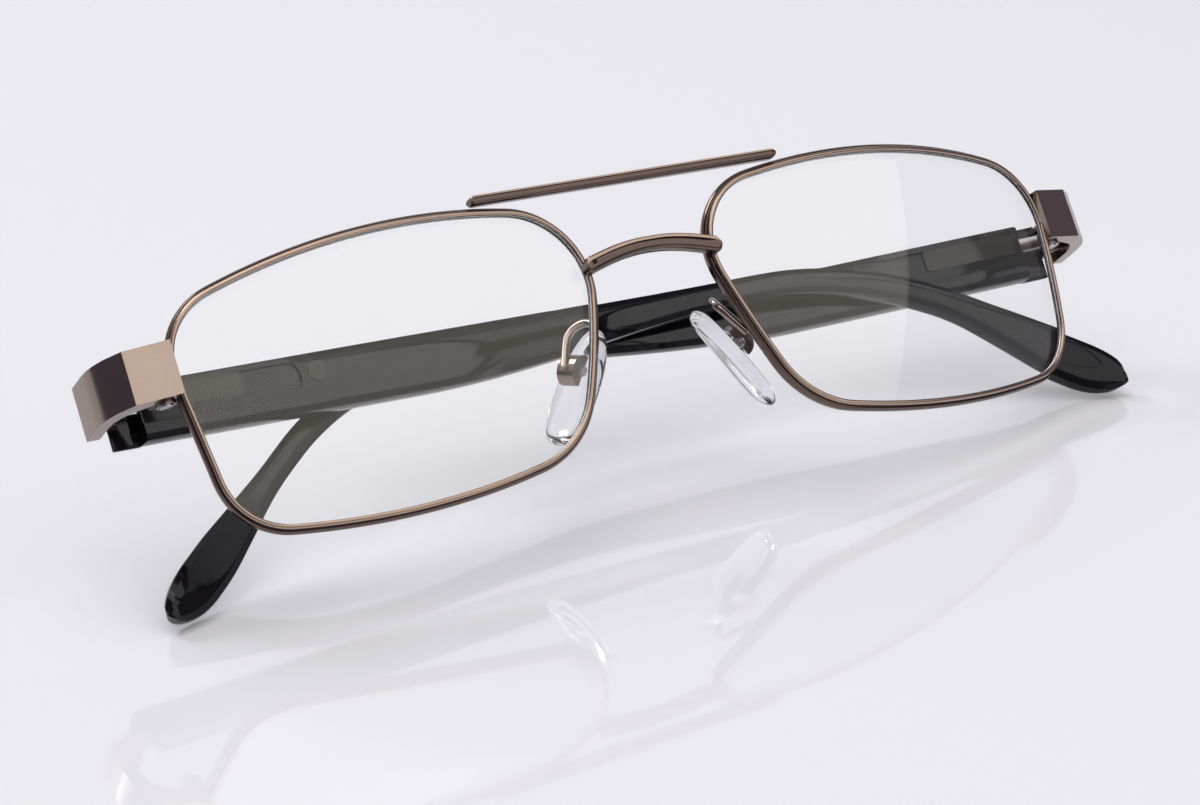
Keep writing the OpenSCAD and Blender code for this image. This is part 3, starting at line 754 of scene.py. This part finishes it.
def build_temple(side):
    """A temple whose sections lie closer together at its hinge end, pocket and tip."""
    shape, node = TEMPLES[side], "temple_" + SIDES[side]
    length = shape["length"]
    places = [0.5, 0.7, 0.95, 1.3, 2.5, 3.98, 4.02, 8, 12, 16, 20, POCKET_ROUND]
    places += [POCKET_ROUND + POCKET_HALF * math.sin(math.radians(t))
               for t in (15, 30, 45, 60, 72, 82, 88, 90)]
    places += [24.8] + [26 + 2 * k for k in range(30)] + [86 + 1.5 * k for k in range(22)]
    last = places[-1]
    tip = [length - 12 + 12 * math.sin(math.radians(t)) for t in range(4, 90, 4)]
    places += [t for t in tip if t > last + 0.3] + [length - 0.01]
    bm = bmesh.new()
    drop = rot("Y", shape["droop"])
    loft(bm, [[drop @ p for p in temple_section(shape, a)] for a in places], False,
         temple_place(side))
    fit(bm, node, node + "_buffed", sharp=28)


# Insets of the temples

# the hinge housing's field: start, end, lower and upper edge, corner radius
FIELD_SHAPE = (5.0, 17.4, 3.5, 6.15, 0.6)
# the plug behind it: place along, height and radius
PLUG_SHAPE = (26.6, 4.6, 1.15)
# how far each stands proud of the inner face, and how deep both are set in
FIELD_PROUD, PLUG_PROUD, INSET_DEEP = -0.04, 0.15, 0.28


def build_inset(side, name, outline, proud):
    """A piece let into the temple's inner face; it rides with the temple."""
    bm = bmesh.new()
    loft(bm, [[(a, o, z) for a, z in outline] for o in (SLAB_IN - proud, SLAB_IN + INSET_DEEP)],
         False, temple_place(side) @ rot("Y", TEMPLES[side]["droop"]))
    chamfer(bm, 0.17, 40)
    # the inset's lighter tone is painted reflection
    piece = smooth_piece(bm, name, [housing_plate_painted_reflection], 30)
    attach(piece, body_of["temple_" + SIDES[side]])


def round_spot(a, z, radius):
    turns = [2 * math.pi * k / 40 for k in range(40)]
    return [(a + radius * math.cos(t), z + radius * math.sin(t)) for t in turns]


def long_field(start, end, low, high, radius):
    """A long field: square at the hinge, rounded corners at the other end."""
    turns = [math.radians(10 * k) for k in range(10)]
    x, top, foot = end - radius, high - radius, low + radius
    upper = [(x + radius * math.sin(t), top + radius * math.cos(t)) for t in turns]
    lower = [(x + radius * math.cos(t), foot - radius * math.sin(t)) for t in turns]
    return [(start, high)] + upper + lower + [(start, low)]


# Nose pads

# the pad: length, width, thickness, and how far its middle lies below the screw
PAD_LEN, PAD_W, PAD_T, PAD_LOW = 14.8, 6.6, 2.4, 1.1
# how square its lower and upper end are, and how much narrower it gets upwards
PAD_SQUARE, PAD_ROUND, PAD_TAPER = 0.62, 0.85, 0.13
# its bend lengthways and across, its place behind the middle, and its round edge's skin
PAD_LONG_BEND, PAD_CROSS_BEND, PAD_OFF, PAD_SKIN = 0.0032, 0.010, 0.1, 0.12
# shares of the way out where its faces have a row of points
PAD_ROWS = (0.16, 0.32, 0.48, 0.62, 0.74)
# the lug that the screw goes through: half its width, and half the width that is uncut;
# its front, the corner and end of its back, half its height at the corner and at the end,
# and how far its edges are cut
LUG_HALF, LUG_FLAT, LUG_FROM, LUG_BEND, LUG_TO = 0.68, 0.5, 0.9, 1.9, 2.28
LUG_TALL, LUG_BACK, LUG_CUT = 0.85, 0.45, 0.12


def build_pad(side):
    """A soft pad: a slab with a gently hollow back, a crowned nose face, a round edge and a
    squarer lower end."""
    node = "nose_pad_" + SIDES[side]
    place = pad_place(side)
    bm = bmesh.new()
    around = 72
    rim = []
    for m in range(around):
        t = 2 * math.pi * m / around
        c, s = math.cos(t), math.sin(t)
        power = PAD_SQUARE if s < 0 else PAD_ROUND
        rim.append((PAD_W / 2 * math.copysign(abs(c) ** power, c) * (1 - PAD_TAPER * s),
                    PAD_LEN / 2 * math.copysign(abs(s) ** power, s)))
    # the way across the pad from the back's middle over the edge to the nose face's middle
    half, last = PAD_T / 2 - PAD_SKIN, PAD_ROWS[-1]
    walk = [(q, 1.0) for q in PAD_ROWS]
    walk += [(last + (1 - last) * math.sin(t), math.cos(t)) for t in
             (math.radians(a) for a in range(10, 180, 10))]
    walk += [(q, -1.0) for q in reversed(PAD_ROWS)]

    def spot(q, face, y, z):
        bend = PAD_LONG_BEND * (z * q) ** 2 + PAD_CROSS_BEND * (y * q) ** 2
        return place @ Vector((half * face - bend + PAD_OFF, y * q, z * q - PAD_LOW))

    rows = [[bm.verts.new(spot(q, face, y, z)) for y, z in rim] for q, face in walk]
    for row, following in zip(rows, rows[1:]):
        skin(bm, row, following)
    for row, face in ((rows[0], 1.0), (rows[-1], -1.0)):
        fan(bm, row, bm.verts.new(spot(0.0, face, 0.0, 0.0)))
    lug = []
    for y, cut in ((-LUG_HALF, LUG_CUT), (-LUG_FLAT, 0.0), (LUG_FLAT, 0.0), (LUG_HALF, LUG_CUT)):
        tall = LUG_TALL - cut
        lug.append([(x, y, z) for x, z in (
            (LUG_FROM, -tall), (LUG_BEND - cut, -tall), (LUG_TO - cut, -LUG_BACK),
            (LUG_TO - cut, LUG_BACK), (LUG_BEND - cut, tall), (LUG_FROM, tall))])
    loft(bm, lug, False, place)
    fit(bm, node, node + "_moulded", sharp=40)


# the cup seen along its screw: its middle, depth and half height, its face towards the
# pad, the thickness of its wall, and how far the hollow runs out through the face
CUP_MID, CUP_DEEP, CUP_TALL, CUP_FACE, CUP_WALL, CUP_OPEN = 1.75, 1.6, 1.85, 1.5, 0.4, 0.3
# half the width of the cup and of its hollow; the mouth's half height, and how far it
# reaches in front of the face and behind the middle
CUP_HALF, HOLLOW_HALF, MOUTH_TALL, MOUTH_FRONT, MOUTH_BACK = 1.3, 0.86, 1.35, 1, 0.2


def cup_outline(shrink):
    """The cup seen along its screw: flat towards the pad, round behind."""
    turns = [math.radians(-98 + 7 * k) for k in range(29)]
    face = CUP_FACE - (CUP_OPEN if shrink else 0)
    return [(max(CUP_MID + (CUP_DEEP - shrink) * math.cos(t), face),
             (CUP_TALL - shrink) * math.sin(t)) for t in turns]


def hollowed(body, cutter):
    """The body with the cutter's room taken out, as a new bmesh."""
    pieces = [in_scene("carving", outward_mesh(bm, "carving")) for bm in (body, cutter)]
    carve = pieces[0].modifiers.new("carve", "BOOLEAN")
    carve.operation, carve.object, carve.solver = "DIFFERENCE", pieces[1], "EXACT"
    carve.use_self = True
    graph = bpy.context.evaluated_depsgraph_get()
    made = bpy.data.meshes.new_from_object(pieces[0].evaluated_get(graph), depsgraph=graph)
    for piece in pieces:
        bpy.data.objects.remove(piece)
    bm = bmesh.new()
    bm.from_mesh(made)
    bpy.data.meshes.remove(made)
    return bm


def build_cup(side):
    """The cup that holds the pad's lug: two round cheeks and a shell round the back."""
    node = "pad_box_" + SIDES[side]
    place = pad_place(side)
    bm = bmesh.new()
    loft(bm, [[(x, y, z) for x, z in cup_outline(0)] for y in (-CUP_HALF, CUP_HALF)],
         False, place)
    chamfer(bm, 0.22, 30, 4)
    cutter = bmesh.new()
    loft(cutter, [[(x, y, z) for x, z in cup_outline(CUP_WALL)]
                  for y in (-HOLLOW_HALF, HOLLOW_HALF)], False, place)
    mouth = ((-HOLLOW_HALF, -MOUTH_TALL), (HOLLOW_HALF, -MOUTH_TALL),
             (HOLLOW_HALF, MOUTH_TALL), (-HOLLOW_HALF, MOUTH_TALL))
    loft(cutter, [[(x, y, z) for y, z in mouth]
                  for x in (CUP_FACE - MOUTH_FRONT, CUP_MID + MOUTH_BACK)], False, place)
    fit(hollowed(bm, cutter), node, node + "_pressed", sharp=30)


# Wires

def wire_tree():
    """Geometry Nodes tree: a round wire of the given thickness along the piece's edges."""
    tree = bpy.data.node_groups.new("round_wire_along_path", "GeometryNodeTree")
    face = tree.interface
    face.new_socket("Path", in_out="INPUT", socket_type="NodeSocketGeometry")
    for label, kind in (("Radius", "NodeSocketFloat"), ("Sides", "NodeSocketInt"),
                        ("Finish", "NodeSocketMaterial")):
        face.new_socket(label, in_out="INPUT", socket_type=kind)
    face.new_socket("Wire", in_out="OUTPUT", socket_type="NodeSocketGeometry")
    given = add(tree, "NodeGroupInput").outputs
    path = add(tree, "GeometryNodeMeshToCurve", Mesh=given["Path"]).outputs[0]
    ring = add(tree, "GeometryNodeCurvePrimitiveCircle", Resolution=given["Sides"],
               Radius=given["Radius"]).outputs[0]
    tube = add(tree, "GeometryNodeCurveToMesh", Curve=path, Profile_Curve=ring,
               Fill_Caps=True).outputs[0]
    tube = add(tree, "GeometryNodeSetShadeSmooth", Geometry=tube).outputs[0]
    whole = add(tree, "GeometryNodeRealizeInstances", Geometry=tube).outputs[0]
    done = add(tree, "GeometryNodeSetMaterial", Geometry=whole,
               Material=given["Finish"]).outputs[0]
    add(tree, "NodeGroupOutput", Wire=done)
    return tree


WIRE = wire_tree()


def build_wire(node, points, radius_mm, place, sides):
    """A wire bent along these points; it stands for a CAD node."""
    mesh = bpy.data.meshes.new(node + "_path")
    spots = [place @ Vector(p) for p in points]
    mesh.from_pydata(spots, [(i, i + 1) for i in range(len(spots) - 1)], [])
    path = in_scene(node + "_path", mesh)
    modifier = path.modifiers.new("wire", "NODES")
    modifier.node_group = WIRE
    values = {"Radius": radius_mm * MM, "Sides": sides, "Finish": finish_for(node)}
    for item in WIRE.interface.items_tree:
        if item.item_type == "SOCKET" and item.in_out == "INPUT" and item.name in values:
            modifier[item.identifier] = values[item.name]
    graph = bpy.context.evaluated_depsgraph_get()
    made = bpy.data.meshes.new_from_object(path.evaluated_get(graph), depsgraph=graph)
    bpy.data.objects.remove(path)
    made.name = node + "_bent"
    made.set_sharp_from_angle(angle=math.radians(40))
    stand_for(in_scene(node + "_bent", made), node)


# the pad arm: its foot on the rim, its end at the cup, the way up, the straight leg's
# length and the wire's radius
ARM_START = Vector((10.7, 1.9, -3.4))
ARM_END = PAD_MID - 3.45 * PAD_FACE + 0.5 * PAD_DOWN
ARM_UP = Vector((-2.6, 1.25, 4.8)).normalized()
ARM_LEG, ARM_R = 3.7, 0.49


def arm_path():
    """Up from the rim's back, round a bend and down to the cup."""
    span = ARM_END - ARM_START
    step = span.dot(ARM_UP)
    across = span - ARM_UP * step
    r, e = across.length / 2, across.normalized()
    up = [ARM_START + ARM_UP * ARM_LEG * k / 6 for k in range(6)]
    bend = [ARM_START + ARM_UP * ARM_LEG + e * r
            + (-e * math.cos(t) + ARM_UP * math.sin(t)) * r
            for t in (math.radians(10 * k) for k in range(19))]
    down = [ARM_END + ARM_UP * (ARM_LEG - step) * (1 - k / 6) for k in range(1, 7)]
    return up + bend + down


# the hinge spring: turns, start and length along the temple, its middle outwards and up,
# the coil's radius and the wire's radius
COILS, COIL_FROM, COIL_LENGTH, COIL_O, COIL_Z = 9, 11.2, 7.4, 0.65, 4.4
COIL_R, SPRING_R = 0.78, 0.15


def spring_path():
    """A close coil inside the housing, along the temple's own line."""
    steps = COILS * 20
    turns = [2 * math.pi * k / 20 for k in range(steps + 1)]
    return [(COIL_FROM + COIL_LENGTH * k / steps, COIL_O + COIL_R * math.cos(t),
             COIL_Z + COIL_R * math.sin(t)) for k, t in enumerate(turns)]


# All pieces

# how far the edges of the fittings that keep their CAD shape are softened
SOFTENED = {
    "front_hinge": 0.1, "spring_housing": 0.14, "spring_slide": 0.08, "slide_nut": 0.08,
    "lock_upper": 0.12, "lock_lower": 0.12, "rim_screw": 0.05, "hinge_screw": 0.06,
    "pad_screw": 0.05,
}

for side, hand in SIDES.items():
    build_rim(side)
    build_lens(side)
    build_temple(side)
    build_pad(side)
    build_wire("pad_arm_" + hand, arm_path(), ARM_R, STANDING @ mirrored(side), 16)
    build_wire("hinge_spring_" + hand, spring_path(), SPRING_R, temple_place(side), 8)
    build_end_piece(side)
    build_cup(side)
    build_inset(side, "housing_field_" + hand, long_field(*FIELD_SHAPE), FIELD_PROUD)
    build_inset(side, "housing_plug_" + hand, round_spot(*PLUG_SHAPE), PLUG_PROUD)
    for fitting, width_mm in SOFTENED.items():
        dress(fitting + "_" + hand, width_mm)
build_top_bar()
build_bridge()

# Table and background, in metres from here on

TABLE_HALF = 3.0
# the background paper: half its width and height, and where its middle stands
PAPER_HALF, PAPER_PLACE = (2.6, 0.9), (0, 1.6, 0.9)


def stage_sheet(name, parts, half, place):
    """A flat square sheet that belongs to the stage."""
    bm = bmesh.new()
    bmesh.ops.create_grid(bm, x_segments=parts, y_segments=parts, size=half, matrix=place)
    mesh = bpy.data.meshes.new(name)
    bm.to_mesh(mesh)
    bm.free()
    in_scene(name, mesh)
    return mesh


# white acrylic sheet: pale, even, with a faint mirror image of what stands on it; the
# camera sees a tenth of the pale room through it
table = stage_sheet("table_top", 8, TABLE_HALF, Matrix.Identity(4))
acrylic, tree = blank_finish("white_acrylic_sheet")
even = add(tree, "ShaderNodeMapRange", Value=grain(tree, 60.0), From_Min=NOISE_LOW,
           From_Max=NOISE_HIGH, To_Min=0.03, To_Max=0.05).outputs["Result"]
sheet = add(tree, "ShaderNodeBsdfPrincipled", Base_Color=tone("#f1f0f5"), IOR=1.65,
            Roughness=even).outputs[0]
clear = add(tree, "ShaderNodeBsdfTransparent", Color=tone("#ffffff")).outputs[0]
camera_ray = add(tree, "ShaderNodeLightPath").outputs["Is Camera Ray"]
share = add(tree, "ShaderNodeMath", {"operation": "MULTIPLY"}, i0=camera_ray, i1=0.1).outputs[0]
both = add(tree, "ShaderNodeMixShader", i0=share, i1=sheet, i2=clear).outputs[0]
add(tree, "ShaderNodeOutputMaterial", Surface=both)
table.materials.append(acrylic)

# a lit paper sheet stands behind the table and is mirrored in it
standing = (Matrix.Translation(PAPER_PLACE) @ rot("X", 90)
            @ Matrix.Diagonal((*PAPER_HALF, 1, 1)))
background = stage_sheet("paper_sheet", 2, 1.0, standing)
paper, tree = blank_finish("lit_background_paper")
glow = add(tree, "ShaderNodeEmission", Color=tone("#e9e8ee"), Strength=0.72).outputs[0]
add(tree, "ShaderNodeOutputMaterial", Surface=glow)
background.materials.append(paper)


# Light

def softbox(name, place, width, height, radiance, colour, roll=0):
    """A box light at this place that faces the glasses."""
    lamp = bpy.data.lights.new(name, "AREA")
    lamp.shape = "RECTANGLE"
    lamp.size, lamp.size_y = width, height
    lamp.energy = radiance * math.pi * width * height
    lamp.color = colour
    facing = Vector(place).to_track_quat("Z", "Y").to_matrix().to_4x4()
    in_scene(name, lamp).matrix_world = Matrix.Translation(place) @ facing @ rot("Z", roll)


# the large front box is turned so that its edge crosses the right lens upright
softbox("front_softbox", (0.30, -0.74, 0.86), 1.44, 1.38, 1.0, (1.0, 0.985, 0.96), -41)
softbox("top_softbox", (-0.12, 0.12, 1.1), 1.2, 0.7, 1.6, (1.0, 0.99, 0.98))
softbox("rear_softbox", (-0.30, 0.85, 0.75), 0.45, 0.35, 8.0, (0.97, 0.98, 1.0))

world = bpy.data.worlds.new("pale_studio")
bpy.context.scene.world = world
world.use_nodes = True
tree = world.node_tree
tree.nodes.clear()
rays = add(tree, "ShaderNodeLightPath").outputs
seen = add(tree, "ShaderNodeMath", {"operation": "MAXIMUM"}, i0=rays["Is Camera Ray"],
           i1=rays["Is Transmission Ray"]).outputs[0]
pale = add(tree, "ShaderNodeBackground", Color=tone("#e3e2e8"), Strength=1.0).outputs[0]
fill = add(tree, "ShaderNodeBackground", Color=tone("#f2f2f6"), Strength=0.34).outputs[0]
# what polished faces mirror away from the lights: the dim room round the table
room = add(tree, "ShaderNodeBackground", Color=tone("#655f71"), Strength=1.0).outputs[0]
unseen = add(tree, "ShaderNodeMixShader", i0=rays["Is Glossy Ray"], i1=fill, i2=room).outputs[0]
whole = add(tree, "ShaderNodeMixShader", i0=seen, i1=unseen, i2=pale).outputs[0]
add(tree, "ShaderNodeOutputWorld", Surface=whole)

# Camera

# the photograph's viewpoint in millimetres, and the camera's turns about x, y and z in
# degrees, in the front's own frame
EYE = Vector((-228.88, -373.32, -96.25))
EYE_TURNS = (101.9973, 17.1008, -26.5287)
FOCAL_PIXELS, WIDE_PIXELS = 3856.94, 1200
camera = bpy.data.cameras.new("camera")
camera.sensor_width = 36.0
camera.lens = FOCAL_PIXELS / WIDE_PIXELS * camera.sensor_width
camera.clip_start, camera.clip_end = 0.01, 20.0
viewer = in_scene("camera", camera)
turned = rot("Z", EYE_TURNS[2]) @ rot("Y", EYE_TURNS[1]) @ rot("X", EYE_TURNS[0])
viewer.matrix_world = (Matrix.Translation(STANDING @ EYE) @ rot("Y", ROLL) @ rot("X", -LEAN)
                       @ turned)
bpy.context.scene.camera = viewer
bpy.context.scene.view_settings.view_transform = "Standard"
